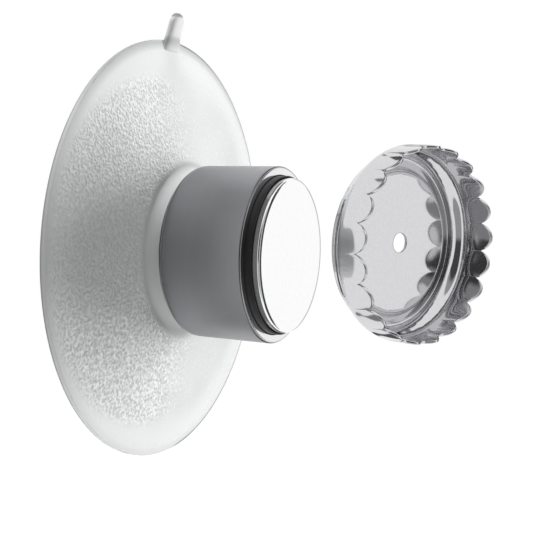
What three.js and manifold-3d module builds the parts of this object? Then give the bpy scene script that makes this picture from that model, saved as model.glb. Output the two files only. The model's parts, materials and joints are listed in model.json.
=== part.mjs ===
// Magnetic soap holder. A suction cup on the wall carries a magnet in a round steel casing.
// A toothed steel cap is pressed into the soap, and its closed end hangs on the magnet.
// Millimetres. The wall is the plane y = 0, the holder stands out along -Y and +Z is up.
// A height is measured out from the wall, so a point at height h has y = -h.
import * as THREE from "three";
import { mergeVertices } from "three/addons/utils/BufferGeometryUtils.js";
import Module from "manifold-3d";

const wasm = await Module();
wasm.setup();

// Fits between pieces
const seat = 0.1; // between faces that rest on each other
const skim = 0.06; // between round walls that guide each other
const play = 0.25; // round a piece that only has to drop in

// Suction cup: one soft moulding with its pull tab, collar and stem
const cupRadius = 30;
const rimThickness = 0.9;
const rimRound = 0.35;
const sealLand = 1.6;
const hollowDepth = 3;
const domeRise = 3.4;
const domeFlare = 1.25;
const collarSpread = 1.1;
const collarRise = 1.4;
const neckLength = 0.2;
const stemRadius = 4.2;
const stemHeadRadius = 5.8;
const stemHeadThickness = 1.3;
const stemTipRadius = 4.4;
const stemTipLength = 1;

// Pull tab at the top of the rim
const tabLength = 4;
const tabRootWidth = 4.3;
const tabTipWidth = 3.1;
const tabThickness = 1.3;
const tabBevel = 0.3;
const tabRoot = 1.4;
const tabWallGap = 0.1;
const tabLean = THREE.MathUtils.degToRad(15);

// Casing: a drawn steel shell, turned in at both ends
const casingRadius = 12.35;
const casingDraft = 0.15;
const casingLength = 12.6;
const casingSheet = 0.6;
const casingRound = 0.9;
const lipRound = 0.3;

// Magnet, its steel back plate and its polished cover
const coverStand = 2;
const coverSheet = 0.4;
const coverRound = 0.35;
const coverFlange = 0.45;
const magnetThickness = 5;
const magnetChamfer = 0.4;
const plateThickness = 1.5;

// Rubber seal between the cover and the casing's lip
const sealFlange = 0.73;
const sealWall = 0.25;
const sealStand = 1;

// Moulded core that grips the stem
const coreFloor = 2.1;
const coreLeadIn = 0.5;

// Soap cap: one stamping, measured from the outer face of its closed end
const capRadius = 13;
const capHeight = 7.2;
const capSheet = 0.38;
const capHoleRadius = 1.4;
const recessDepth = 1.2;
const recessDraft = 0.45;
const ringWidth = 1.95;
const ringRound = 0.5;
const waistStep = 0.3;
const waistHeight = 1.15;
const shoulderStep = 1.1;
const shoulderHeight = 2.6;
const petalLean = 0.1;
const petalCount = 21;
const petalHeight = 1.9;
const petalRoot = 0.14;
const petalCup = 0.22;
const petalFullness = 0.6; // exponent: 1 is a plain sine lobe, smaller is fuller
const petalPhaseShare = 0.81;

// How the cap stands off the magnet: it has swung about an axis beside the holder
const dockGap = 0.3;
const pivotAside = 32.4;
const pivotAhead = 11.5;
const swingAngle = THREE.MathUtils.degToRad(23);
const swingLean = THREE.MathUtils.degToRad(10.4);

// Facets
const roundSteps = 64;
const smallRoundSteps = 48;
const arcSteps = 3;
const domeSteps = 7;
const hollowSteps = 5;

// Heights, stacked out from the wall
const domeTop = rimThickness + domeRise;
const collarTop = domeTop + collarRise;
const neckFace = collarTop + neckLength;
const casingBack = neckFace + seat;
const casingFloor = casingBack + casingSheet;
const coreBack = casingFloor + seat;
const stemHeadBack = coreBack + coreFloor + seat;
const casingFront = casingBack + casingLength;
const lipInside = casingFront - casingSheet;
const coverFace = casingFront + coverStand;
const magnetFront = coverFace - coverSheet - seat;
const magnetBack = magnetFront - magnetThickness;
const plateFront = magnetBack - seat;
const plateBack = plateFront - plateThickness;
const coreFront = plateBack - seat;
const flangeBack = plateFront + seat;
const flangeFront = flangeBack + coverSheet;
const sealBack = flangeFront + seat;

// Radii that follow from their neighbours
const casingBackRadius = casingRadius - casingDraft;
const boreRadius = casingBackRadius - casingSheet;
const packRadius = boreRadius - skim;
const neckRadius = casingBackRadius - casingRound;
const stemHoleRadius = stemRadius + play;
const socketRadius = stemHeadRadius + play;
const sealInnerRadius = packRadius - sealFlange;
const coverRadius = sealInnerRadius - skim;
const magnetRadius = coverRadius - coverSheet - skim;
const sealNoseRadius = sealInnerRadius + sealWall;
const lipRadius = sealNoseRadius + skim;
const shoulderRadius = capRadius + petalLean;
const waistRadius = shoulderRadius - shoulderStep;
const ringOuterRadius = waistRadius - waistStep;
const ringInnerRadius = ringOuterRadius - ringWidth;
const recessRadius = ringInnerRadius - recessDraft;

const half = (value) => value / 2;

// Points of an arc from one angle to another, as [radius, height] pairs. Angle 0 points
// along the radius and a quarter turn points along the height.
function arc(centreRadius, centreHeight, radius, from, to, steps = arcSteps) {
  return Array.from({ length: steps + 1 }, (_, i) => {
    const angle = THREE.MathUtils.degToRad(THREE.MathUtils.lerp(from, to, i / steps));
    return [centreRadius + radius * Math.cos(angle), centreHeight + radius * Math.sin(angle)];
  });
}

// A solid of revolution about the holder's axis. The profile runs from the wall side
// outwards and back again, or ends on the axis.
function turned(profile, steps = roundSteps) {
  const points = profile.map(([radius, height]) => new THREE.Vector2(radius, height));
  const geometry = new THREE.LatheGeometry(points, steps);
  geometry.rotateX(Math.PI);
  return geometry;
}

function closed(profile) {
  return [...profile, profile[0]];
}

function toSolid(geometry) {
  const bare = geometry.clone();
  bare.deleteAttribute("normal");
  bare.deleteAttribute("uv");
  const merged = mergeVertices(bare);
  return new wasm.Manifold(
    new wasm.Mesh({
      numProp: 3,
      vertProperties: new Float32Array(merged.attributes.position.array),
      triVerts: new Uint32Array(merged.index.array),
    }),
  );
}

function toGeometry(solid) {
  const mesh = solid.getMesh();
  const geometry = new THREE.BufferGeometry();
  geometry.setAttribute("position", new THREE.BufferAttribute(mesh.vertProperties, mesh.numProp));
  geometry.setIndex(new THREE.BufferAttribute(mesh.triVerts, 1));
  return geometry;
}

// Outer face of the cup: a shallow trumpet that rises from the rim to the collar.
function domeHeight(radius, collarRadius) {
  const share = (cupRadius - radius) / (cupRadius - collarRadius);
  return rimThickness + domeRise * share ** domeFlare;
}

// Wall side of the cup: a parabola that falls to nothing at the sealing land.
function hollowHeight(radius) {
  return hollowDepth * (1 - (radius / (cupRadius - sealLand)) ** 2);
}

function cupProfile() {
  const hollowRadius = cupRadius - sealLand;
  const collarRadius = neckRadius + collarSpread;
  const hollow = Array.from({ length: hollowSteps + 1 }, (_, i) => {
    const radius = (hollowRadius * i) / hollowSteps;
    return [radius, hollowHeight(radius)];
  });
  const domeStart = cupRadius - rimRound;
  const dome = Array.from({ length: domeSteps }, (_, i) => {
    const radius = THREE.MathUtils.lerp(domeStart, collarRadius, (i + 1) / domeSteps);
    return [radius, domeHeight(radius, collarRadius)];
  });
  const collar = Array.from({ length: arcSteps }, (_, i) => {
    const turn = half(Math.PI) * ((i + 1) / arcSteps);
    return [
      collarRadius - collarSpread * Math.sin(turn),
      collarTop - collarRise * Math.cos(turn),
    ];
  });
  const headFront = stemHeadBack + stemHeadThickness;
  return [
    ...hollow,
    [cupRadius - rimRound, 0],
    [cupRadius, rimRound],
    [cupRadius, rimThickness - rimRound],
    [domeStart, rimThickness],
    ...dome,
    ...collar,
    [neckRadius, neckFace],
    [stemRadius, neckFace],
    [stemRadius, stemHeadBack],
    [stemHeadRadius, stemHeadBack],
    [stemHeadRadius, headFront],
    [stemTipRadius, headFront + stemTipLength],
    [0, headFront + stemTipLength],
  ];
}

// A tapered tongue with a half-round tip. It starts inside the rim, leans away from the wall
// and crosses the rim at the height that keeps the back of its root clear of the wall.
function pullTab() {
  const rootSide = half(tabRootWidth) - tabBevel;
  const tipSide = half(tabTipWidth) - tabBevel;
  const tipStart = tabLength - half(tabTipWidth);
  const height = half(tabThickness) + tabRoot * Math.sin(tabLean) + tabWallGap;
  const outline = new THREE.Shape();
  outline.moveTo(-rootSide, -tabRoot);
  outline.lineTo(rootSide, -tabRoot);
  outline.lineTo(tipSide, tipStart);
  outline.absellipse(0, tipStart, tipSide, tipSide, 0, Math.PI);
  outline.closePath();
  const geometry = new THREE.ExtrudeGeometry(outline, {
    depth: tabThickness - 2 * tabBevel,
    bevelThickness: tabBevel,
    bevelSize: tabBevel,
    bevelSegments: 1,
    curveSegments: arcSteps * 3,
  });
  geometry.translate(0, 0, -half(tabThickness) + tabBevel);
  geometry.rotateX(half(Math.PI) + tabLean);
  geometry.translate(0, -height, cupRadius);
  return geometry;
}

function suctionCup() {
  const body = toSolid(turned(cupProfile()));
  return toGeometry(body.add(toSolid(pullTab())));
}

function casing() {
  return turned(
    closed([
      [stemHoleRadius, casingBack],
      ...arc(neckRadius, casingBack + casingRound, casingRound, -90, 0),
      ...arc(casingRadius - lipRound, casingFront - lipRound, lipRound, 0, 90),
      [lipRadius, casingFront],
      [lipRadius, lipInside],
      [boreRadius, lipInside],
      [boreRadius, casingFloor],
      [stemHoleRadius, casingFloor],
    ]),
  );
}

function core() {
  const socketFloor = coreBack + coreFloor;
  return turned(
    closed([
      [stemHoleRadius + coreLeadIn, coreBack],
      [packRadius - coreLeadIn, coreBack],
      [packRadius, coreBack + coreLeadIn],
      [packRadius, coreFront],
      [socketRadius, coreFront],
      [socketRadius, socketFloor],
      [stemHoleRadius, socketFloor],
      [stemHoleRadius, coreBack + coreLeadIn],
    ]),
    smallRoundSteps,
  );
}

// A plain round disc with both of its edges chamfered
function disc(radius, back, front, chamfer) {
  return turned(
    [
      [0, back],
      [radius - chamfer, back],
      [radius, back + chamfer],
      [radius, front - chamfer],
      [radius - chamfer, front],
      [0, front],
    ],
    smallRoundSteps,
  );
}

// A drawn cup, open towards the wall, with a flange that the seal holds down
function magnetCover() {
  const innerRadius = coverRadius - coverSheet;
  return turned([
    [0, coverFace - coverSheet],
    [innerRadius, coverFace - coverSheet],
    [innerRadius, flangeBack],
    [coverRadius + coverFlange, flangeBack],
    [coverRadius + coverFlange, flangeFront],
    [coverRadius, flangeFront],
    ...arc(coverRadius - coverRound, coverFace - coverRound, coverRound, 0, 90),
    [0, coverFace],
  ]);
}

function sealRing() {
  return turned(
    closed([
      [sealInnerRadius, sealBack],
      [packRadius, sealBack],
      [packRadius, lipInside - seat],
      [sealNoseRadius, lipInside - seat],
      [sealNoseRadius, casingFront + sealStand],
      [sealInnerRadius, casingFront + sealStand],
    ]),
  );
}

// Outer face of the cap from the hole to the roots of the petals, as [radius, height]
function capProfile() {
  return [
    [capHoleRadius, recessDepth],
    [recessRadius, recessDepth],
    [recessRadius + half(recessDraft), half(recessDepth)],
    [ringInnerRadius, 0],
    [ringOuterRadius - ringRound, 0],
    ...arc(ringOuterRadius - ringRound, ringRound, ringRound, -45, 0, 1),
    [waistRadius - half(ringRound), waistHeight],
    ...arc(shoulderRadius - ringRound, shoulderHeight, ringRound, -60, 0, 2),
    [shoulderRadius, capHeight - petalHeight - petalRoot],
  ];
}

// Unit normals of an open [radius, height] line, turned to its left
function leftNormals(line) {
  return line.map((_, i) => {
    const before = line[Math.max(i - 1, 0)];
    const after = line[Math.min(i + 1, line.length - 1)];
    const run = new THREE.Vector2(after[0] - before[0], after[1] - before[1]).normalize();
    return [-run.y, run.x];
  });
}

// The cap is one sheet. Its rows follow the profile and its columns go round the axis.
// Past the last profile row each petal is a half-round lobe, hollowed a little outwards.
function soapCap() {
  const columnShares = [0, 0.1, 0.34, 0.66, 0.9];
  const petalRowShares = [0.55, 1];
  const profile = capProfile();
  const normals = leftNormals(profile);
  const columns = petalCount * columnShares.length;
  const outer = [];
  const inner = [];
  for (let petal = 0; petal < petalCount; petal += 1) {
    for (const columnShare of columnShares) {
      const angle = (2 * Math.PI * (petal + petalPhaseShare + columnShare)) / petalCount;
      const lobe = Math.sin(Math.PI * columnShare) ** petalFullness;
      const column = profile.map(([radius, height], i) => [radius, height, ...normals[i]]);
      for (const rowShare of petalRowShares) {
        const cup = petalCup * lobe * Math.sin(Math.PI * rowShare);
        const reach = petalRoot + petalHeight * lobe;
        column.push([
          shoulderRadius - petalLean * rowShare + cup,
          capHeight - petalHeight - petalRoot + reach * rowShare,
          -1,
          0,
        ]);
      }
      const place = (radius, height) => [
        radius * Math.sin(angle),
        -(coverFace + dockGap + height),
        radius * Math.cos(angle),
      ];
      outer.push(column.map(([radius, height]) => place(radius, height)));
      inner.push(
        column.map(([radius, height, normalRadius, normalHeight]) =>
          place(radius + capSheet * normalRadius, height + capSheet * normalHeight),
        ),
      );
    }
  }
  return sheetGeometry(outer, inner, columns, outer[0].length);
}

// Closes two grids of points, wrapped round the axis, into one solid sheet
function sheetGeometry(outer, inner, columns, rows) {
  const positions = [...outer, ...inner].flat(2);
  const index = [];
  const corner = (side, column, row) => (side * columns + (column % columns)) * rows + row;
  const quad = (a, b, c, d) => index.push(a, c, b, a, d, c);
  for (let column = 0; column < columns; column += 1) {
    const next = column + 1;
    for (let row = 0; row < rows - 1; row += 1) {
      quad(
        corner(0, column, row),
        corner(0, next, row),
        corner(0, next, row + 1),
        corner(0, column, row + 1),
      );
      quad(
        corner(1, column, row),
        corner(1, column, row + 1),
        corner(1, next, row + 1),
        corner(1, next, row),
      );
    }
    quad(corner(0, column, 0), corner(1, column, 0), corner(1, next, 0), corner(0, next, 0));
    quad(
      corner(0, column, rows - 1),
      corner(0, next, rows - 1),
      corner(1, next, rows - 1),
      corner(1, column, rows - 1),
    );
  }
  const geometry = new THREE.BufferGeometry();
  geometry.setAttribute("position", new THREE.Float32BufferAttribute(positions, 3));
  geometry.setIndex(index);
  return geometry;
}

function piece(name, geometry, colour, roughness, metalness, extra = {}) {
  const material = new THREE.MeshStandardMaterial({ color: colour, roughness, metalness, ...extra });
  const mesh = new THREE.Mesh(geometry, material);
  mesh.name = name;
  return mesh;
}

const seeThrough = { transparent: true, opacity: 0.6 };
const holder = new THREE.Group();
holder.add(piece("suction_cup", suctionCup(), 0xdfe2e2, 0.4, 0, seeThrough));

const head = new THREE.Group();
head.add(
  piece("casing", casing(), 0x8a8c8f, 0.35, 1),
  piece("core", core(), 0x2c2d2f, 0.6, 0),
  piece("back_plate", disc(packRadius, plateBack, plateFront, magnetChamfer), 0x777a7d, 0.5, 1),
  piece("magnet", disc(magnetRadius, magnetBack, magnetFront, magnetChamfer), 0x55585b, 0.5, 1),
  piece("seal_ring", sealRing(), 0x141414, 0.7, 0),
  piece("magnet_cover", magnetCover(), 0xd8dadc, 0.08, 1),
);
holder.add(head);

// The swing axis leans forward from upright, square to the holder's width.
const pivot = new THREE.Vector3(
  -pivotAside,
  -(coverFace + dockGap + pivotAhead * Math.cos(swingLean)),
  pivotAhead * Math.sin(swingLean),
);
const swingAxis = new THREE.Vector3(0, Math.sin(swingLean), Math.cos(swingLean));
const swing = new THREE.Group();
swing.position.copy(pivot);
swing.setRotationFromAxisAngle(swingAxis, -swingAngle);
const cap = piece("soap_cap", soapCap(), 0xc9ccce, 0.12, 1);
cap.position.copy(pivot).negate();
swing.add(cap);
head.add(swing);

export default holder;
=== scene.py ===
import json
import math

import bmesh
import bpy
import numpy as np
from mathutils import Matrix, Vector


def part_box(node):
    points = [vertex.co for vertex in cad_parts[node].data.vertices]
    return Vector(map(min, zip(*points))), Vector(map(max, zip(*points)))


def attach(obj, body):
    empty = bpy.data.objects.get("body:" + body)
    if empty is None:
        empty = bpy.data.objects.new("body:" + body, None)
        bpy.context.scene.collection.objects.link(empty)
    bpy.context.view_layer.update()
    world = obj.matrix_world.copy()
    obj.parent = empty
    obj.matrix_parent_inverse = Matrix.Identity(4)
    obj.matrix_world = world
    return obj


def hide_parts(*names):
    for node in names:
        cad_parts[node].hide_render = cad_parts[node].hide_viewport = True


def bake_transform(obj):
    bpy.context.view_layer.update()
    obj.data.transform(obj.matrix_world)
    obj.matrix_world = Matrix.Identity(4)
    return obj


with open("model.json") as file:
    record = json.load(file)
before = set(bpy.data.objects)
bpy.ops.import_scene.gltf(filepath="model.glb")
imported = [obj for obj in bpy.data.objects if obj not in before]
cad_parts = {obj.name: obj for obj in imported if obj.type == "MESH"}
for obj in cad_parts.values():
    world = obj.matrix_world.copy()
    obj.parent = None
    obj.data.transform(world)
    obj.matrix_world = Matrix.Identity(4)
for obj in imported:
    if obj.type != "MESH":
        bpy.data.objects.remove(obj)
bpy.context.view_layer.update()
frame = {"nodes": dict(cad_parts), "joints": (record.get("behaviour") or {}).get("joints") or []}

# Magnetic soap holder. Shapes are worked out in millimetres, with heights measured out
# from the wall, and become metres in the frame: a point at height h has y = -h.
mm = 0.001
print("frame loaded")


# Meshes

# The low and the high corner of a CAD node's box.
def boxMm(node):
    low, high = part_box(node)
    return np.array(low) / mm, np.array(high) / mm


holdLength = 0.1
holdShare = 0.25  # of a run that is too short for the hold length


# Every corner of a line becomes a quadratic curve (1-s)^2 a + 2s(1-s) c + s^2 b, where a
# and b lie a cut before and after the corner c. The straight run between two curves gets
# a point close to each of its ends, so that flat faces keep flat normals.
def softCorners(corners, cuts, steps=6):
    corners = np.array(corners, float)
    cuts = np.array([0, *cuts, 0], float)[:, None]
    run = np.diff(corners, axis=0)
    length = np.linalg.norm(run, axis=1, keepdims=True)
    way = run / length
    hold = np.minimum(holdLength, (length - cuts[:-1] - cuts[1:]) * holdShare)
    held = np.stack([corners[:-1] + way * (cuts[:-1] + hold), corners[1:] - way * (cuts[1:] + hold)])
    middle = corners[1:-1]
    a = middle - way[:-1] * cuts[1:-1]
    b = middle + way[1:] * cuts[1:-1]
    s = np.linspace(0, 1, steps + 1)[:, None, None]
    curves = (1 - s) ** 2 * a + 2 * s * (1 - s) * middle + s ** 2 * b
    inside = np.concatenate([held[:, :-1], curves]).transpose(1, 0, 2).reshape(-1, 2)
    return np.vstack([corners[:1], inside, held[:, -1], corners[-1:]])


turnSteps = 240
around = np.linspace(0, 2 * np.pi, turnSteps, endpoint=False)


# A profile of (radius r, height h) turned to the angles t: (r sin t, -h, r cos t).
def turned(profile, angles):
    radius = profile[:, 0][:, None]
    height = profile[:, 1][:, None] + 0 * angles
    return np.stack([radius * np.sin(angles), -height, radius * np.cos(angles)], axis=-1)


mergeGap = 0.0005
sharpAngle = 40


# A grid of points, rows by columns, becomes quads that wrap round the columns, and round
# the rows where the profile closes on itself. Equal points are merged, which closes poles
# and doubled corners, and a shell with a negative volume is turned right side out.
def gridMesh(name, points, closeRows):
    rows, columns = points.shape[:2]
    row = np.arange(rows if closeRows else rows - 1)[:, None]
    column = np.arange(columns)[None, :]
    nextRow = (row + 1) % rows
    nextColumn = (column + 1) % columns
    quads = np.stack(
        [
            row * columns + column,
            row * columns + nextColumn,
            nextRow * columns + nextColumn,
            nextRow * columns + column,
        ],
        axis=-1,
    ).reshape(-1, 4)
    mesh = bpy.data.meshes.new(name)
    mesh.from_pydata((points.reshape(-1, 3) * mm).tolist(), [], quads.tolist())
    shell = bmesh.new()
    shell.from_mesh(mesh)
    bmesh.ops.remove_doubles(shell, verts=shell.verts, dist=mergeGap * mm)
    if shell.calc_volume(signed=True) < 0:
        bmesh.ops.reverse_faces(shell, faces=shell.faces)
    shell.to_mesh(mesh)
    shell.free()
    mesh.shade_smooth()
    mesh.set_sharp_from_angle(angle=math.radians(sharpAngle))
    return mesh


# A new object in the scene, at the origin.
def addObject(name, data):
    thing = bpy.data.objects.new(name, data)
    bpy.context.scene.collection.objects.link(thing)
    return thing


# A piece with its material and the CAD nodes that it stands for.
def addPiece(name, mesh, material, nodes):
    piece = addObject(name, mesh)
    mesh.materials.append(material)
    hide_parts(*nodes)
    return piece


# Materials

# An sRGB channel c becomes c / 12.92 up to 0.04045, and ((c + 0.055) / 1.055) ^ 2.4 above.
def hexLinear(code):
    channels = np.array([int(code[i:i + 2], 16) for i in (0, 2, 4)]) / 255
    linear = np.where(channels <= 0.04045, channels / 12.92, ((channels + 0.055) / 1.055) ** 2.4)
    return (*linear.tolist(), 1.0)


# An even grey as a linear colour.
def grey(value):
    return (value, value, value, 1.0)


# Adds one node. A setting named like an input fills that input, "stops" fills a colour
# ramp, and any other setting is an attribute. A link joins an output, or a node's first
# output, to the named input. A Mix node has its share at input 0, two numbers at 2 and 3
# and two colours at 6 and 7, and its colour comes out at output 2.
def addNode(tree, kind, settings, links=None):
    node = tree.nodes.new(kind)
    for name, value in settings.items():
        if name == "stops":
            for element, (place, colour) in zip(node.color_ramp.elements, value):
                element.position = place
                element.color = colour
        elif isinstance(name, int) or name in node.inputs:
            node.inputs[name].default_value = value
        else:
            setattr(node, name, value)
    for name, source in (links or {}).items():
        output = source.outputs[0] if isinstance(source, bpy.types.Node) else source
        tree.links.new(output, node.inputs[name])
    return node


# The node tree of a material or world, with nothing in it.
def emptyTree(owner):
    owner.use_nodes = True
    owner.node_tree.nodes.clear()
    return owner.node_tree


# A new material, its tree, and the Object coordinates that its patterns read.
def startMaterial(name):
    material = bpy.data.materials.new(name)
    tree = emptyTree(material)
    return material, tree, addNode(tree, "ShaderNodeTexCoord", {}).outputs["Object"]


# Ends a material with one Principled shader.
def endMaterial(tree, settings, links):
    shader = addNode(tree, "ShaderNodeBsdfPrincipled", settings, links)
    addNode(tree, "ShaderNodeOutputMaterial", {}, {"Surface": shader})


# Noise as wide as the grain. It tints from dark to light, and spreads the roughness from
# its smoothest to its roughest share.
def addGrain(tree, place, look):
    grain = addNode(tree, "ShaderNodeTexNoise", {
        "Scale": 1 / (look["grain"] * mm), "Detail": look["detail"], "Roughness": look["fineness"],
    }, {"Vector": place})
    tint = addNode(tree, "ShaderNodeValToRGB", {
        "stops": [(look["darkAt"], hexLinear(look["dark"])), (look["lightAt"], hexLinear(look["light"]))],
    }, {0: grain})
    rough = addNode(tree, "ShaderNodeMapRange", {
        "To Min": look["roughness"] * look["smoothest"], "To Max": look["roughness"] * look["roughest"],
    }, {"Value": grain})
    return grain, tint, rough


# Soft PVC, injection moulded in a grained tool: milky, with a weak gloss. Pebbles cover the
# dome between a smooth band at the rim and one round the collar, and nearly vanish towards
# +X. Their pits are painted darker and their crests lighter, painted shade and painted
# highlight, most in the lower half and least in a level band across the middle, after how
# the light falls there. The face towards the wall is smooth.
# The dome is painted lighter towards the rim, a painted light. Along the rim, the collar and
# the tab's sides and tip painted shade makes them greyer, and the rim greyest at the top.
# The rim's painted dark line runs along its back edge on the -X side and crosses to its
# front edge on the +X side, and the tab's painted lines run along its back and its far side.
def softPvcMoulded():
    look = dict(
        ior=1.53, gloss=0.15, roughness=0.26, smoothest=0.92, roughest=1.12,
        body="dfe0e0", haze="d3d5d5", cloud=12.0, cloudDetail=2.0, hazeAt=0.3, bodyAt=0.7,
        # The next colour is painted light on the dome towards the rim.
        paintedRimLight="e4e5e5", paintedLightFrom=23.0, paintedLightTo=28.5,
        grain=0.42, grainDetail=1.0, grainDepth=0.23,
        grainInner=13.4, grainCentre=-5.0, grainOuter=25.5, grainEdge=2.6,
        shallowFrom=-7.0, shallowTo=4.5, shallowShare=0.05,
        # Painted shade in the pits and a painted highlight on the crests, placed after how the light falls.
        pitShade="b6b7b7", crestHighlight="fcfdfd", pitAt=0.34, crestAt=0.66,
        levelFrom=3.0, levelTo=12.0, levelShare=0.22, highShare=0.42, lowShare=0.75,
        # The next grey is painted shade along the rim, the collar and the tab.
        edge="393b3c", edgeRoughness=0.85, line=0.6, crossing=4.0,
        topFrom=0.4, topTo=0.95, band=1.9, bandShade=0.12, bandTop=0.36,
        face=0.4, faceTop=0.6, faceDepth=0.2, collarShade=0.15,
        tipFrom=3.0, tipTo=3.5, tipShade=0.7, sideLine=0.4, sideShade=0.4, sideRise=0.6)
    rim = boxMm("suction_cup")[1][0]
    material, tree, place = startMaterial("softPvcMoulded")
    x, y, z = addNode(tree, "ShaderNodeSeparateXYZ", {}, {0: place}).outputs

    # How far a point lies from the cup's axis and from the axis of the grain's outer edge
    radii = []
    for centre in (0.0, look["grainCentre"]):
        offset = addNode(tree, "ShaderNodeMath", {"operation": "SUBTRACT", 1: centre * mm}, {0: x})
        flat = addNode(tree, "ShaderNodeCombineXYZ", {}, {0: offset, 2: z})
        length = addNode(tree, "ShaderNodeVectorMath", {"operation": "LENGTH"}, {0: flat})
        radii.append(length.outputs["Value"])
    radius, grainRadius = radii

    # How far it lies from the rim, from the rim's line and in front of the tab's middle
    fromRim = addNode(tree, "ShaderNodeMath", {"operation": "SUBTRACT", 1: rim * mm}, {0: radius})
    inward = addNode(tree, "ShaderNodeMath", {"operation": "ABSOLUTE"}, {0: fromRim})
    lineHeight = addNode(tree, "ShaderNodeMapRange", {
        "interpolation_type": "SMOOTHSTEP", "From Min": -look["crossing"] * mm,
        "From Max": look["crossing"] * mm, "To Max": cup["rimThickness"] * mm,
    }, {"Value": x})
    aboveLine = addNode(tree, "ShaderNodeMath", {"operation": "ADD"}, {0: y, 1: lineHeight})
    beside = addNode(tree, "ShaderNodeMath", {"operation": "ABSOLUTE"}, {0: aboveLine})
    toLine = addNode(tree, "ShaderNodeMath", {"operation": "ADD"}, {0: inward, 1: beside})
    lean = math.radians(tab["lean"])
    middle = tab["thickness"] / 2 + tab["root"] * math.sin(lean) + tab["wallGap"]
    overRim = addNode(tree, "ShaderNodeMath", {"operation": "SUBTRACT", 1: rim * mm}, {0: z})
    rise = addNode(tree, "ShaderNodeMath", {"operation": "MULTIPLY", 1: math.tan(lean)}, {0: overRim})
    leant = addNode(tree, "ShaderNodeMath", {"operation": "ADD"}, {0: y, 1: rise})
    forward = addNode(tree, "ShaderNodeMath", {"operation": "ADD", 1: middle * mm}, {0: leant})

    # Smooth ramps: what each reads, where it starts and ends, and its first and last value
    ramps = {
        "inner": (radius, look["grainInner"] - look["grainEdge"] / 2, look["grainInner"], 0, 1),
        "outer": (grainRadius, look["grainOuter"], look["grainOuter"] - look["grainEdge"], 0, 1),
        "depth": (x, look["shallowFrom"], look["shallowTo"], 1, look["shallowShare"]),
        # Where the pits' painted shade and the crests' painted highlight are strongest.
        "high": (z, look["levelFrom"], look["levelTo"], look["levelShare"], look["highShare"]),
        "low": (z, -look["levelFrom"], -look["levelTo"], look["levelShare"], look["lowShare"]),
        # Painted light towards the rim.
        "paintedRimLight": (radius, look["paintedLightFrom"], look["paintedLightTo"], 0, 1),
        # Where painted shade lies along the rim, its outer face, the collar and the tab.
        "nearRim": (inward, look["band"], 0, 0, 1),
        "onRim": (radius, rim + look["band"] / 2, rim, 0, 1),
        "bandTop": (z, rim * look["topFrom"], rim * look["topTo"], look["bandShade"], look["bandTop"]),
        "line": (toLine, look["line"], 0, 0, 1),
        "onFace": (inward, look["face"], 0, 0, 1),
        "faceFront": (y, -cup["rimThickness"] - look["faceDepth"], -cup["rimThickness"], 0, 1),
        "faceTop": (z, rim * look["topFrom"], rim * look["topTo"], 0, look["faceTop"]),
        "collar": (radius, cup["collarRadius"] + look["band"] / 2, cup["collarRadius"],
                   0, look["collarShade"]),
        "tip": (z, rim + look["tipFrom"], rim + look["tipTo"], 0, look["tipShade"]),
        "tabBack": (forward, tab["thickness"] / 2 - look["sideLine"], tab["thickness"] / 2, 0, 1),
        "tabFar": (x, tab["tipWidth"] / 2 - look["sideLine"], tab["tipWidth"] / 2, 0, 1),
        "onTab": (z, rim, rim + look["sideRise"], 0, look["sideShade"]),
    }
    values = {}
    for name, (source, start, end, first, last) in ramps.items():
        values[name] = addNode(tree, "ShaderNodeMapRange", {
            "interpolation_type": "SMOOTHSTEP", "From Min": start * mm, "From Max": end * mm,
            "To Min": first, "To Max": last,
        }, {"Value": source})

    # The grain, and whether a face looks away from the wall
    values["pebble"] = addNode(tree, "ShaderNodeTexNoise", {
        "Scale": 1 / (look["grain"] * mm), "Detail": look["grainDetail"],
    }, {"Vector": place})
    normal = addNode(tree, "ShaderNodeTexCoord", {}).outputs["Normal"]
    facing = addNode(tree, "ShaderNodeSeparateXYZ", {}, {0: normal}).outputs[1]
    values["front"] = addNode(tree, "ShaderNodeMath", {"operation": "LESS_THAN", 1: 0.0}, {0: facing})

    # Each is the product, or the largest, of values above it
    chains = {
        "where": ("MULTIPLY", "inner", "outer", "front", "depth"),
        "relief": ("MULTIPLY", "pebble", "where"),
        "level": ("MAXIMUM", "high", "low"),
        "paintedReliefShare": ("MULTIPLY", "where", "level"),
        "rimBand": ("MULTIPLY", "nearRim", "onRim", "bandTop"),
        "rimFace": ("MULTIPLY", "onFace", "faceFront", "faceTop"),
        "tabSide": ("MAXIMUM", "tabBack", "tabFar"),
        "tabLine": ("MULTIPLY", "tabSide", "onTab"),
        "shade": ("MAXIMUM", "rimBand", "line", "rimFace", "collar", "tip", "tabLine"),
    }
    for name, (operation, first, *others) in chains.items():
        value = values[first]
        for other in others:
            value = addNode(tree, "ShaderNodeMath", {"operation": operation}, {0: value, 1: values[other]})
        values[name] = value

    cloud = addNode(tree, "ShaderNodeTexNoise", {
        "Scale": 1 / (look["cloud"] * mm), "Detail": look["cloudDetail"],
    }, {"Vector": place})
    tint = addNode(tree, "ShaderNodeValToRGB", {
        "stops": [(look["hazeAt"], hexLinear(look["haze"])), (look["bodyAt"], hexLinear(look["body"]))],
    }, {0: cloud})
    # Painted shade in the pits and a painted highlight on the crests.
    paintedRelief = addNode(tree, "ShaderNodeValToRGB", {
        "stops": [(look["pitAt"], hexLinear(look["pitShade"])), (look["crestAt"], hexLinear(look["crestHighlight"]))],
    }, {0: values["pebble"]})
    # Painted light on the dome towards the rim.
    rimLightPainted = addNode(tree, "ShaderNodeMix", {"data_type": "RGBA", 7: hexLinear(look["paintedRimLight"])},
                      {0: values["paintedRimLight"], 6: tint})
    # Mixes in the pits' painted shade and the crests' painted highlight.
    grained = addNode(tree, "ShaderNodeMix", {"data_type": "RGBA"},
                      {0: values["paintedReliefShare"], 6: rimLightPainted.outputs[2], 7: paintedRelief})
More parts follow.
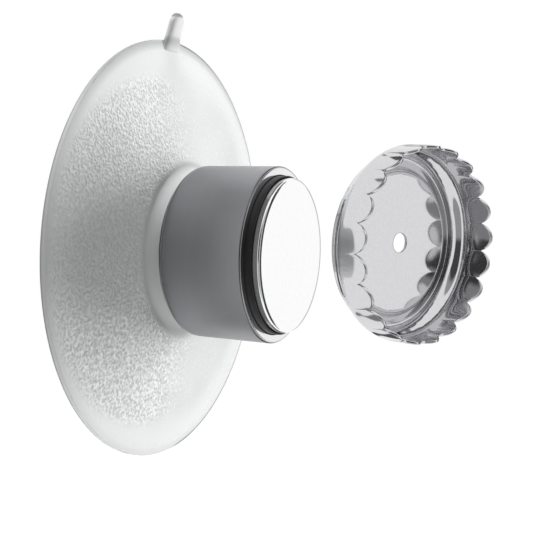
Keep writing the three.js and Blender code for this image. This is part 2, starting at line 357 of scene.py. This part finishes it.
    # Painted shade along the rim, the collar and the tab's sides and tip.
    body = addNode(tree, "ShaderNodeMix", {"data_type": "RGBA", 7: hexLinear(look["edge"])},
                   {0: values["shade"], 6: grained.outputs[2]})
    rough = addNode(tree, "ShaderNodeMapRange", {
        "To Min": look["roughness"] * look["smoothest"], "To Max": look["roughness"] * look["roughest"],
    }, {"Value": values["pebble"]})
    dull = addNode(tree, "ShaderNodeMix", {3: look["edgeRoughness"]}, {0: values["shade"], 2: rough})
    bump = addNode(tree, "ShaderNodeBump", {"Distance": look["grainDepth"] * mm},
                   {"Height": values["relief"]})
    endMaterial(tree, {"IOR": look["ior"], "Specular IOR Level": look["gloss"]},
                {"Base Color": body.outputs[2], "Roughness": dull, "Normal": bump})
    return material


# Steel sheet, deep drawn and satin brushed round its axis: turning lines, a little coarser
# than the real ones so that they show, faint bands, and painted shade that makes it darker
# towards its back and lighter towards its front.
# The face of its lip is polished bright, with a painted dark line outside it, a painted
# reflection, and the bend at its back is smoother than the side.
def satinDrawnSteel():
    look = dict(
        light="c0c1c4", dark="939497", roughness=0.4, smoothest=0.8, roughest=1.25,
        line=0.12, lineDetail=3.0, lineFineness=0.6, lineStretch=0.03, lineDepth=0.004, lineStrength=0.5,
        band=1.6, bandDetail=3.0, bandShare=0.2, lip="f0f0f2", lipRoughness=0.12, lipDepth=0.08,
        # The next dark colour paints a line outside the lip: a painted reflection.
        paintedDarkLine="3c3d3f", paintedLineDepth=0.3, bend=1.3, bendRoughness=0.16)
    low, high = boxMm("casing")
    front, back = low[1], high[1]
    material, tree, place = startMaterial("satinDrawnSteel")
    depth = addNode(tree, "ShaderNodeSeparateXYZ", {}, {0: place}).outputs[1]

    # Straight ramps along the casing: where each starts and ends
    ramps = {
        # Painted shade, darker towards the back.
        "paintedShadeRamp": (back, front),
        "lip": (front + look["lipDepth"], front),
        # A painted dark line outside the lip, a painted reflection.
        "paintedDarkLine": (front + look["paintedLineDepth"], front + look["lipDepth"]),
        "bend": (back - look["bend"], back - look["bend"] / 2),
    }
    values = {}
    for name, (start, end) in ramps.items():
        values[name] = addNode(tree, "ShaderNodeMapRange", {"From Min": start * mm, "From Max": end * mm},
                               {"Value": depth})
    stretch = look["lineStretch"]
    brushed = addNode(tree, "ShaderNodeMapping", {"Scale": (stretch, 1.0, stretch)}, {0: place})
    lines = addNode(tree, "ShaderNodeTexNoise", {
        "Scale": 1 / (look["line"] * mm), "Detail": look["lineDetail"], "Roughness": look["lineFineness"],
    }, {"Vector": brushed})
    bands = addNode(tree, "ShaderNodeTexNoise", {
        "Scale": 1 / (look["band"] * mm), "Detail": look["bandDetail"],
    }, {"Vector": brushed})
    # Painted shade from back to front, with faint bands in it.
    paintedShadeAndBands = addNode(tree, "ShaderNodeMix", {0: look["bandShare"]}, {2: values["paintedShadeRamp"], 3: bands})
    tint = addNode(tree, "ShaderNodeValToRGB", {
        "stops": [(0.0, hexLinear(look["dark"])), (1.0, hexLinear(look["light"]))],
    }, {0: paintedShadeAndBands})
    # The painted dark line outside the lip, a painted reflection.
    darkLinePainted = addNode(tree, "ShaderNodeMix", {"data_type": "RGBA", 7: hexLinear(look["paintedDarkLine"])},
                    {0: values["paintedDarkLine"], 6: tint})
    body = addNode(tree, "ShaderNodeMix", {"data_type": "RGBA", 7: hexLinear(look["lip"])},
                   {0: values["lip"], 6: darkLinePainted.outputs[2]})
    rough = addNode(tree, "ShaderNodeMapRange", {
        "To Min": look["roughness"] * look["smoothest"], "To Max": look["roughness"] * look["roughest"],
    }, {"Value": lines})
    bent = addNode(tree, "ShaderNodeMix", {3: look["bendRoughness"]}, {0: values["bend"], 2: rough})
    gloss = addNode(tree, "ShaderNodeMix", {3: look["lipRoughness"]}, {0: values["lip"], 2: bent})
    bump = addNode(tree, "ShaderNodeBump", {
        "Strength": look["lineStrength"], "Distance": look["lineDepth"] * mm,
    }, {"Height": lines})
    endMaterial(tree, {"Metallic": 1.0},
                {"Base Color": body.outputs[2], "Roughness": gloss, "Normal": bump})
    return material


polish = dict(detail=4.0, fineness=0.7, darkAt=0.3, lightAt=0.7, smoothest=0.6, roughest=1.5,
              waveDetail=1.0, waveStrength=0.6)


# Stainless steel, stamped and barrel polished: a mirror with slow waves from the press, a
# little haze, and hairlines made coarser than the real ones so that they show as a faint
# mottle. Where the height of its face is given, its side behind that is duller and darker.
def polishedSteel(name, finish, faceHeight=None):
    look = {**polish, **finish}
    material, tree, place = startMaterial(name)
    wave = addNode(tree, "ShaderNodeTexNoise", {
        "Scale": 1 / (look["wave"] * mm), "Detail": look["waveDetail"],
    }, {"Vector": place})
    body, gloss = addGrain(tree, place, look)[1:]
    if faceHeight is not None:
        depth = addNode(tree, "ShaderNodeSeparateXYZ", {}, {0: place}).outputs[1]
        side = addNode(tree, "ShaderNodeMapRange", {
            "From Min": -(faceHeight - look["sideFrom"]) * mm,
            "From Max": -(faceHeight - look["sideTo"]) * mm,
        }, {"Value": depth})
        body = addNode(tree, "ShaderNodeMix", {"data_type": "RGBA", 7: hexLinear(look["side"])},
                       {0: side, 6: body}).outputs[2]
        gloss = addNode(tree, "ShaderNodeMix", {3: look["sideRoughness"]}, {0: side, 2: gloss})
    bump = addNode(tree, "ShaderNodeBump", {
        "Strength": look["waveStrength"], "Distance": look["waveDepth"] * mm,
    }, {"Height": wave})
    endMaterial(tree, {"Metallic": 1.0}, {"Base Color": body, "Roughness": gloss, "Normal": bump})
    return material


# A plain finish whose only pattern is its grain, which also lifts it where it has a depth.
def plainFinish(name, look):
    material, tree, place = startMaterial(name)
    grain, tint, rough = addGrain(tree, place, look)
    links = {"Base Color": tint, "Roughness": rough}
    if "depth" in look:
        links["Normal"] = addNode(tree, "ShaderNodeBump", {
            "Strength": look["strength"], "Distance": look["depth"] * mm,
        }, {"Height": grain})
    endMaterial(tree, {"Metallic": look["metal"]}, links)
    return material


# Pieces

cup = dict(rimThickness=0.9, rimCut=0.4, sealLand=1.6, hollowDepth=3.0, domeRise=3.4,
           domeFlare=1.25, domeSteps=48, collarRadius=12.4, collarSpread=1.1, collarRise=1.4,
           collarSteps=12, neckFace=5.9, stemRadius=4.2, stemHeadRadius=5.8, stemHeadBack=8.9,
           stemHeadThickness=1.3, stemTipRadius=4.4, stemTipLength=1.0, edgeCut=0.2)

tab = dict(length=4.0, rootWidth=4.3, tipWidth=3.1, taper=1.5, thickness=1.3, thinning=4,
           squareness=2.6, root=1.4, lean=15, wallGap=0.1, steps=40, sides=40)


# The dome rises from the rim to the collar as (share of the way in) ^ flare, the collar is
# a quarter of an ellipse, and the wall side is a parabola that ends at the sealing land.
def cupProfile():
    rim = boxMm("suction_cup")[1][0]
    share = np.linspace(0, 1, cup["domeSteps"])
    hollowRadius = (rim - cup["sealLand"]) * share
    hollowHeight = cup["hollowDepth"] * (1 - share ** 2)
    domeFoot = rim - cup["rimCut"]
    collarFoot = cup["collarRadius"]
    domeRadius = domeFoot + (collarFoot - domeFoot) * share
    climb = (rim - domeRadius) / (rim - collarFoot)
    domeHeight = cup["rimThickness"] + cup["domeRise"] * climb ** cup["domeFlare"]
    rimLine = softCorners(
        [[rim - cup["sealLand"], 0], [rim, 0], [rim, cup["rimThickness"]], [domeFoot, domeHeight[0]]],
        [cup["rimCut"], cup["rimCut"] / 2],
    )
    quarter = np.linspace(0, np.pi / 2, cup["collarSteps"])
    collar = np.stack([
        collarFoot - cup["collarSpread"] * np.sin(quarter),
        domeHeight[-1] + cup["collarRise"] * (1 - np.cos(quarter)),
    ], axis=1)
    headFront = cup["stemHeadBack"] + cup["stemHeadThickness"]
    tipFront = headFront + cup["stemTipLength"]
    edge = cup["edgeCut"]
    stem = softCorners(
        [collar[-1], [collarFoot - cup["collarSpread"], cup["neckFace"]],
         [cup["stemRadius"], cup["neckFace"]], [cup["stemRadius"], cup["stemHeadBack"]],
         [cup["stemHeadRadius"], cup["stemHeadBack"]], [cup["stemHeadRadius"], headFront],
         [cup["stemTipRadius"], tipFront], [0, tipFront]],
        [edge / 2, edge, edge, edge, edge, edge],
    )
    return np.vstack([
        np.stack([hollowRadius, hollowHeight], axis=1),
        rimLine,
        np.stack([domeRadius, domeHeight], axis=1),
        collar,
        stem,
    ])


# A finger along a leaning line, with a superellipse as its section. Its half width falls
# from the root's to the tip's as (share of the way still to go) ^ taper. Its tip is half a
# circle: v of its radius past the start of the tip, the half width is sqrt(1 - v^2) of the
# tip's, and the thickness sqrt(1 - v^thinning) of the full one.
def tabPoints():
    lean = math.radians(tab["lean"])
    rim = boxMm("suction_cup")[1][0]
    tipRadius = tab["tipWidth"] / 2
    tipStart = tab["length"] - tipRadius
    share = np.sin(np.linspace(0, np.pi / 2, tab["steps"]))
    along = -tab["root"] + (tab["length"] + tab["root"]) * share
    toGo = np.clip((tipStart - along) / (tipStart + tab["root"]), 0, 1)
    over = np.clip((along - tipStart) / tipRadius, 0, 1)
    halfWidth = tipRadius + (tab["rootWidth"] / 2 - tipRadius) * toGo ** tab["taper"]
    halfWidth = halfWidth * np.sqrt(1 - over ** 2)
    thickness = np.sqrt(1 - over ** tab["thinning"])
    angle = np.linspace(0, 2 * np.pi, tab["sides"], endpoint=False)
    power = 2 / tab["squareness"]
    side = np.sign(np.cos(angle)) * np.abs(np.cos(angle)) ** power
    front = np.sign(np.sin(angle)) * np.abs(np.sin(angle)) ** power * tab["thickness"] / 2
    x = halfWidth[:, None] * side
    off = thickness[:, None] * front
    height = tab["thickness"] / 2 + tab["root"] * math.sin(lean) + tab["wallGap"]
    y = -height - along[:, None] * math.sin(lean) - off * math.cos(lean)
    z = rim + along[:, None] * math.cos(lean) - off * math.sin(lean)
    points = np.stack([x, y, z], axis=-1)
    foot = points[:1].mean(axis=1, keepdims=True) + 0 * points[:1]
    return np.vstack([foot, points])


# The turned cup with the tab joined on.
def makeSuctionCup(material):
    mesh = gridMesh("suctionCup", turned(cupProfile(), around), closeRows=False)
    finger = addObject("finger", gridMesh("finger", tabPoints(), closeRows=False))
    piece = addPiece("suctionCup", mesh, material, ["suction_cup"])
    union = piece.modifiers.new("union", "BOOLEAN")
    union.operation = "UNION"
    union.solver = "EXACT"
    union.object = finger
    bpy.context.view_layer.update()
    joined = bpy.data.meshes.new_from_object(
        piece.evaluated_get(bpy.context.evaluated_depsgraph_get()))
    piece.modifiers.clear()
    piece.data = joined
    bpy.data.objects.remove(finger)
    joined.shade_smooth()
    joined.set_sharp_from_angle(angle=math.radians(sharpAngle))
    joined.materials.clear()
    joined.materials.append(material)
    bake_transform(piece)
    print("suction cup made")


casing = dict(draft=0.15, sheet=0.6, rearCut=1.5, lipCut=0.35, innerCut=0.1, backCut=0.3,
              lipRadius=11.12, stemHole=4.45)


# A closed profile: out along the turned-in back, up the side, in over the lip and home.
def makeCasing(material):
    low, high = boxMm("casing")
    back, front, radius = -high[1], -low[1], high[0]
    sheet = casing["sheet"]
    bore = radius - casing["draft"] - sheet
    start = [(casing["stemHole"] + radius) / 2, back]
    corners = [start, [radius - casing["draft"], back], [radius, front],
               [casing["lipRadius"], front], [casing["lipRadius"], front - sheet],
               [bore, front - sheet], [bore, back + sheet], [casing["stemHole"], back + sheet],
               [casing["stemHole"], back], start]
    inner = casing["innerCut"]
    cuts = [casing["rearCut"], casing["lipCut"], inner, inner, inner, casing["backCut"], inner, inner]
    profile = softCorners(corners, cuts)[:-1]
    mesh = gridMesh("casingShell", turned(profile, around), closeRows=True)
    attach(addPiece("casingShell", mesh, material, ["casing"]), "head")
    print("casing made")


cover = dict(radius=10.75, sheet=0.4, rimCut=0.3, innerCut=0.15, crown=0.055, crownWidth=0.6,
             crownCut=0.2, cornerSteps=8)

# The face's near white, brighter than the cap's steel of the same kind, is a painted highlight; the side
# behind it is darker and duller.
coverHighlightFinish = dict(light="fdfdfe", dark="f8f8f9", roughness=0.05, wave=9.0, waveDepth=0.002,
                   grain=0.5, side="b4b5b7", sideRoughness=0.22, sideFrom=0.2, sideTo=0.32)


# A cup open towards the wall, its profile starting and ending on the axis. Its face falls
# by the crown over the crown's width, which draws a dark line round the bright disc.
def makeMagnetCover():
    low, high = boxMm("magnet_cover")
    back, face, flange = -high[1], -low[1], high[0]
    inside = cover["radius"] - cover["sheet"]
    corners = [[0, face - cover["sheet"]], [inside, face - cover["sheet"]], [inside, back],
               [flange, back], [flange, back + cover["sheet"]],
               [cover["radius"], back + cover["sheet"]], [cover["radius"], face - cover["crown"]],
               [cover["radius"] - cover["crownWidth"], face], [0, face]]
    inner = cover["innerCut"]
    cuts = [inner, inner, inner, inner, inner, cover["rimCut"], cover["crownCut"]]
    profile = softCorners(corners, cuts, cover["cornerSteps"])
    mesh = gridMesh("magnetCover", turned(profile, around), closeRows=False)
    material = polishedSteel("highlightPaintedSteel", coverHighlightFinish, face)
    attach(addPiece("magnetCover", mesh, material, ["magnet_cover"]), "head")
    print("magnet cover made")


seal = dict(inner=10.81, nose=11.06, edge=0.11, seat=0.1)

# Nitrile rubber, compression moulded: near black, soft sheen, a trace of bloom, and a grain
# coarser than the real one so that it shows.
sealFinish = dict(light="232325", dark="111112", darkAt=0.4, lightAt=0.8, metal=0.0,
                  roughness=0.42, smoothest=0.8, roughest=1.3, grain=0.25, detail=3.0,
                  fineness=0.5, depth=0.01, strength=0.5)


# A closed profile with a step: wide behind the casing's lip, and narrow inside it.
def makeSealRing():
    low, high = boxMm("seal_ring")
    back, front, radius = -high[1], -low[1], high[0]
    casingFront = -boxMm("casing")[0][1]
    step = casingFront - casing["sheet"] - seal["seat"]
    middle = [(seal["inner"] + radius) / 2, back]
    corners = [middle, [radius, back], [radius, step], [seal["nose"], step],
               [seal["nose"], front], [seal["inner"], front], [seal["inner"], back], middle]
    edge = seal["edge"]
    profile = softCorners(corners, [edge, edge, edge, edge, edge, edge])[:-1]
    mesh = gridMesh("sealRing", turned(profile, around), closeRows=True)
    material = plainFinish("mouldedRubber", sealFinish)
    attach(addPiece("sealRing", mesh, material, ["seal_ring"]), "head")
    print("seal ring made")


cap = dict(hole=1.4, recess=9.3, recessDepth=1.2, recessCut=0.4, ringInner=9.75,
           ringInnerCut=0.6, ringOuter=11.7, ringOuterCut=0.62, waist=12.0, waistHeight=1.15,
           waistCut=0.5, shoulder=13.1, shoulderHeight=2.35, shoulderCut=0.7, cornerSteps=8,
           tip=13.0, height=7.2, sheet=0.38, edgeRound=0.1, edgeSteps=8, dockGap=0.3,
           wallStart=3.1, wallRows=18, petals=21, petalHeight=1.9, petalPhaseShare=0.81,
           petalColumns=20, petalPoint=1.4, dishFrom=11.0, dishRadius=1.9, dishDepth=0.04)

capFinish = dict(light="dadadc", dark="d2d2d4", roughness=0.07, wave=3.5, waveDepth=0.012,
                 grain=0.4)


# The sheet as a closed loop of (radius, height): the outer face, a half-round cut edge at
# the petal tips, the inner face one sheet inside it, and the cut edge of the hole.
def capLoop():
    outer = softCorners(
        [[cap["hole"], cap["recessDepth"]], [cap["recess"], cap["recessDepth"]],
         [cap["ringInner"], 0], [cap["ringOuter"], 0], [cap["waist"], cap["waistHeight"]],
         [cap["shoulder"], cap["shoulderHeight"]], [cap["shoulder"], cap["wallStart"]]],
        [cap["recessCut"], cap["ringInnerCut"], cap["ringOuterCut"], cap["waistCut"],
         cap["shoulderCut"]], cap["cornerSteps"],
    )
    share = np.linspace(0, 1, cap["wallRows"])[1:]
    wall = np.stack([
        cap["shoulder"] + (cap["tip"] - cap["shoulder"]) * share,
        cap["wallStart"] + (cap["height"] - cap["edgeRound"] - cap["wallStart"]) * share,
    ], axis=1)
    outer = np.vstack([outer, wall])
    run = np.gradient(outer, axis=0)
    run /= np.linalg.norm(run, axis=1, keepdims=True)
    inner = outer + cap["sheet"] * np.stack([-run[:, 1], run[:, 0]], axis=1)
    turn = np.linspace(0, np.pi, cap["edgeSteps"])[1:-1, None]
    edges = []
    for a, b, way in ((outer[-1], inner[-1], run[-1]), (inner[0], outer[0], -run[0])):
        middle = (a + b) / 2
        edges.append(middle + (a - middle) * np.cos(turn) + way * cap["edgeRound"] * np.sin(turn))
    return np.vstack([outer, edges[0], inner[::-1], edges[1]])


# Column c of a petal lies at s = (1 - cos(pi c)) / 2 of its pitch, where the lobe is
# sin(pi c) ^ point high: half round with a point of 1, and more pointed with a larger one.
# Above the wall's start every height is drawn down in proportion to the lobe, and a shallow
# dish, (1 - d^2)^2 of its depth at d of its radius, swells the petal outwards.
def capPoints():
    loop = capLoop()
    count = cap["petalColumns"]
    c = np.arange(count) / count
    s = (1 - np.cos(np.pi * c)) / 2
    lobe = np.tile(np.sin(np.pi * c) ** cap["petalPoint"], cap["petals"])
    petal = np.repeat(np.arange(cap["petals"]), count)
    angle = 2 * np.pi * (petal + cap["petalPhaseShare"] + np.tile(s, cap["petals"])) / cap["petals"]
    radius, height = loop[:, 0][:, None], loop[:, 1][:, None]
    start = cap["wallStart"]
    tipHeight = cap["height"] - cap["petalHeight"] * (1 - lobe)
    squeezed = start + (height - start) * (tipHeight - start) / (cap["height"] - start)
    height = np.where(height > start, squeezed, height + 0 * lobe)
    across = (np.tile(s, cap["petals"]) - 0.5) * 2 * np.pi * cap["shoulder"] / cap["petals"]
    notch = cap["height"] - cap["petalHeight"]
    far = (across ** 2 + (height - notch) ** 2) / cap["dishRadius"] ** 2
    dish = cap["dishDepth"] * np.clip(1 - far, 0, 1) ** 2
    radius = radius + np.where(radius > cap["dishFrom"], dish, 0)
    reach = -boxMm("magnet_cover")[0][1] + cap["dockGap"] + height
    return np.stack([radius * np.sin(angle), -reach, radius * np.cos(angle)], axis=-1)


# The cap is worked out where it docks, and turned back about the swing's axis to rest.
def makeSoapCap():
    swing = next(joint for joint in frame["joints"] if joint["name"] == "cap_swing")
    turnBack = Matrix.Rotation(-math.radians(swing["range_deg"][1]), 4, Vector(swing["axis"]))
    pivot = Matrix.Translation(Vector(swing["pos_m"]))
    mesh = gridMesh("soapCap", capPoints(), closeRows=True)
    mesh.transform(pivot @ turnBack @ pivot.inverted())
    material = polishedSteel("stampedPolishedSteel", capFinish)
    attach(addPiece("soapCap", mesh, material, ["soap_cap"]), "cap")
    print("soap cap made")


# The hidden nodes keep their CAD meshes: a satin polypropylene moulding, a zinc plated
# blank and a nickel plated magnet, which differ only in colour, metal and grain.
hiddenLook = dict(darkAt=0.35, lightAt=0.65, smoothest=0.8, roughest=1.2, detail=4.0, fineness=0.5)

hidden = {
    "core": dict(name="mouldedPolypropylene", light="3a3b3d", dark="2f3032", metal=0.0,
                 roughness=0.5, grain=0.5),
    "back_plate": dict(name="zincPlatedSteel", light="b9bcc0", dark="a4a7ac", metal=1.0,
                       roughness=0.35, grain=1.5),
    "magnet": dict(name="nickelPlatedMagnet", light="c2c0b8", dark="b3b1a9", metal=1.0,
                   roughness=0.22, grain=2.0),
}


def finishHidden():
    for node, look in hidden.items():
        materials = frame["nodes"][node].data.materials
        materials.clear()
        materials.append(plainFinish(look["name"], {**hiddenLook, **look}))
    print("hidden nodes finished")


# Stage

# 1 for camera, glossy and transmission rays, and 0 for the rest.
def seenDirectly(tree):
    path = addNode(tree, "ShaderNodeLightPath", {})
    gloss = addNode(tree, "ShaderNodeMath", {"operation": "MAXIMUM"},
                    {0: path.outputs["Is Camera Ray"], 1: path.outputs["Is Glossy Ray"]})
    return addNode(tree, "ShaderNodeMath", {"operation": "MAXIMUM"},
                   {0: gloss, 1: path.outputs["Is Transmission Ray"]})


# A rectangle of half sides a and b round the origin, at a height.
def rectangle(a, b, height=0):
    return [(-a, -b, height), (a, -b, height), (a, b, height), (-a, b, height)]


floorLook = dict(height=-130, size=1600, colour="d8d8d8", glow=0.97)


# White for the camera by its own glow, and diffuse for the rest, so that the object's
# shadow stays on it. It throws no light back, and gloss looks past it at the white room.
def makeFloor():
    half = floorLook["size"] / 2 * mm
    mesh = bpy.data.meshes.new("floor")
    mesh.from_pydata(rectangle(half, half, floorLook["height"] * mm), [], [(0, 1, 2, 3)])
    floor = addObject("floor", mesh)
    material = bpy.data.materials.new("paleFloor")
    tree = emptyTree(material)
    glow = addNode(tree, "ShaderNodeMath", {"operation": "MULTIPLY", 1: floorLook["glow"]},
                   {0: seenDirectly(tree)})
    emission = addNode(tree, "ShaderNodeEmission", {"Color": grey(1)}, {"Strength": glow})
    diffuse = addNode(tree, "ShaderNodeBsdfDiffuse", {"Color": hexLinear(floorLook["colour"])})
    both = addNode(tree, "ShaderNodeAddShader", {}, {0: emission, 1: diffuse})
    addNode(tree, "ShaderNodeOutputMaterial", {}, {"Surface": both})
    mesh.materials.append(material)
    floor.visible_diffuse = False
    floor.visible_glossy = False


roomLook = dict(fill=0.06, white=1.0)


# A white room for what looks straight at it, and a faint fill for everything else.
def makeWorld():
    world = bpy.data.worlds.new("studio")
    bpy.context.scene.world = world
    tree = emptyTree(world)
    strength = addNode(tree, "ShaderNodeMapRange", {"To Min": roomLook["fill"], "To Max": roomLook["white"]},
                       {"Value": seenDirectly(tree)})
    light = addNode(tree, "ShaderNodeBackground", {"Color": grey(1)}, {"Strength": strength})
    addNode(tree, "ShaderNodeOutputWorld", {}, {"Surface": light})


# Right is +X here, and front is away from the wall. A soft key at the right front throws
# the casing's shadow over the left of the cup, strips above and below graze the dome and
# bring out its grain, and a broad fill stands at the front left. A lamp at the left, behind
# the plane of the wall, catches the side of the rim, and a soft one behind lights the face
# that goes to the wall.
# Polished metal mirrors none of them, only the white room and the cards.
lights = {
    "keyLight": dict(place=(276, -219, 0), aim=(0, -4, 0), size=(175, 255), power=1.6),
    "topLight": dict(place=(0, 3, 160), aim=(0, -8, 0), size=(160, 20), power=0.3),
    "lowLight": dict(place=(-30, 2, -122), aim=(0, -8, 0), size=(160, 20), power=0.12),
    "frontLight": dict(place=(-110, -310, 40), aim=(0, -4, 0), size=(240, 240), power=0.28),
    "sideLight": dict(place=(-320, 75, -60), aim=(0, 0, 0), size=(100, 260), power=0.24),
    "backLight": dict(place=(-60, 330, 60), aim=(0, 0, 0), size=(260, 260), power=0.7),
}


# Puts a lamp or card at its place, with one axis of its own pointing at its aim.
def placeAndAim(thing, look, axis):
    place, aim = Vector(look["place"]), Vector(look["aim"])
    thing.location = place * mm
    thing.rotation_euler = (aim - place).to_track_quat(axis, "Y").to_euler()


# A soft rectangle of light that no ray sees straight.
def makeLight(name, look):
    data = bpy.data.lights.new(name, "AREA")
    data.shape = "RECTANGLE"
    data.size, data.size_y = (length * mm for length in look["size"])
    data.energy = look["power"]
    light = addObject(name, data)
    placeAndAim(light, look, "-Z")
    light.visible_camera = False
    light.visible_glossy = False
    light.visible_transmission = False


# Cards that only gloss sees: the greys and blacks in polished metal.
cards = {
    "greyCard": dict(place=(-219, -398, 0), aim=(0, -40, 0), size=(885, 930), soft=45, brightness=0.38),
    "darkCard": dict(place=(-195, -256, 73), aim=(0, -40, 0), size=(430, 260), soft=45, brightness=0.07),
    "sideCard": dict(place=(237, -229, 0), aim=(0, -20, 0), size=(152, 300), soft=8, brightness=0.05),
    "edgeCard": dict(place=(337, -20, 0), aim=(0, -20, 0), size=(230, 260), soft=8, brightness=0.55),
}

archRadius = 260
arches = {
    "archCard": dict(front=-10, back=165, start=-200, end=6, steps=60, brightness=0.25),
    "archTop": dict(front=-60, back=86, start=6, end=42, steps=12, brightness=0.1),
    "archLow": dict(front=-60, back=86, start=-236, end=-200, steps=12, brightness=0.1),
}


def addCard(name, corners, faces, surface):
    mesh = bpy.data.meshes.new(name)
    mesh.from_pydata(corners, [], faces)
    card = addObject(name, mesh)
    card.visible_camera = False
    card.visible_diffuse = False
    card.visible_shadow = False
    card.visible_transmission = False
    mesh.materials.append(surface)
    return card


# Emission of an even grey. With half sizes a and b it fades out over the soft edge, where
# min(a - |x|, b - |y|) is less than the edge's width.
def cardSurface(name, brightness, half=None, soft=0):
    material, tree, place = startMaterial(name)
    emission = addNode(tree, "ShaderNodeEmission", {"Color": grey(brightness)})
    surface = emission
    if half is not None:
        split = addNode(tree, "ShaderNodeSeparateXYZ", {}, {0: place})
        inside = []
        for axis, reach in enumerate(half):
            size = addNode(tree, "ShaderNodeMath", {"operation": "ABSOLUTE"}, {0: split.outputs[axis]})
            inside.append(addNode(tree, "ShaderNodeMath", {"operation": "SUBTRACT", 0: reach}, {1: size}))
        nearest = addNode(tree, "ShaderNodeMath", {"operation": "MINIMUM"}, {0: inside[0], 1: inside[1]})
        full = addNode(tree, "ShaderNodeMapRange", {
            "interpolation_type": "SMOOTHSTEP", "From Max": soft * mm,
        }, {"Value": nearest})
        clear = addNode(tree, "ShaderNodeBsdfTransparent", {})
        surface = addNode(tree, "ShaderNodeMixShader", {}, {0: full, 1: clear, 2: emission})
    addNode(tree, "ShaderNodeOutputMaterial", {}, {"Surface": surface})
    return material


# A flat card that fades out at its edges.
def makeCard(name, look):
    half = Vector(look["size"]) * mm / 2
    surface = cardSurface(name, look["brightness"], half, look["soft"])
    placeAndAim(addCard(name, rectangle(half.x, half.y), [(0, 1, 2, 3)], surface), look, "Z")


# A strip bent round the casing's axis at (r sin t, y, r cos t). The sides of the casing and
# of the magnet's cover mirror what lies 65 degrees off that axis: an even grey, and a
# darker strip at each end of it.
def makeArch(name, arch):
    steps = arch["steps"]
    angle = np.radians(np.linspace(arch["start"], arch["end"], steps))
    x, z = archRadius * np.sin(angle), archRadius * np.cos(angle)
    rows = [np.stack([x, y + 0 * x, z], axis=1) for y in (arch["front"], arch["back"])]
    faces = [(i, i + 1, steps + i + 1, steps + i) for i in range(steps - 1)]
    addCard(name, (np.vstack(rows) * mm).tolist(), faces, cardSurface(name, arch["brightness"]))


shot = dict(azimuth=-65.085, elevation=5.205, roll=1.008, aside=-15.1, above=2.588,
            distance=161.1, nearest=10, focalPixels=1100, framePixels=533, sensor=36)


# The camera's axes follow from azimuth, elevation and roll, and the object's origin lies
# aside and above of the middle of the picture, a distance in front of the lens.
def makeCamera():
    azimuth, elevation, roll = (math.radians(shot[key]) for key in ("azimuth", "elevation", "roll"))
    back = Vector((math.sin(azimuth) * math.cos(elevation),
                   -math.cos(azimuth) * math.cos(elevation), math.sin(elevation)))
    level = Vector((math.cos(azimuth), math.sin(azimuth), 0))
    upright = back.cross(level)
    right = math.cos(roll) * level + math.sin(roll) * upright
    up = -math.sin(roll) * level + math.cos(roll) * upright
    data = bpy.data.cameras.new("camera")
    data.sensor_width = shot["sensor"]
    data.lens = shot["sensor"] * shot["focalPixels"] / shot["framePixels"]
    data.clip_start = shot["nearest"] * mm
    camera = addObject("camera", data)
    place = (shot["distance"] * back - shot["aside"] * right - shot["above"] * up) * mm
    camera.matrix_world = Matrix.Translation(place) @ Matrix((right, up, back)).transposed().to_4x4()
    bpy.context.scene.camera = camera


def makeStage():
    makeCamera()
    makeWorld()
    makeFloor()
    for name, look in lights.items():
        makeLight(name, look)
    for name, look in cards.items():
        makeCard(name, look)
    for name, arch in arches.items():
        makeArch(name, arch)
    print("stage made")


makeStage()
makeSuctionCup(softPvcMoulded())
makeCasing(satinDrawnSteel())
makeMagnetCover()
makeSealRing()
makeSoapCap()
finishHidden()

scene = bpy.context.scene
scene.view_settings.view_transform = "Standard"
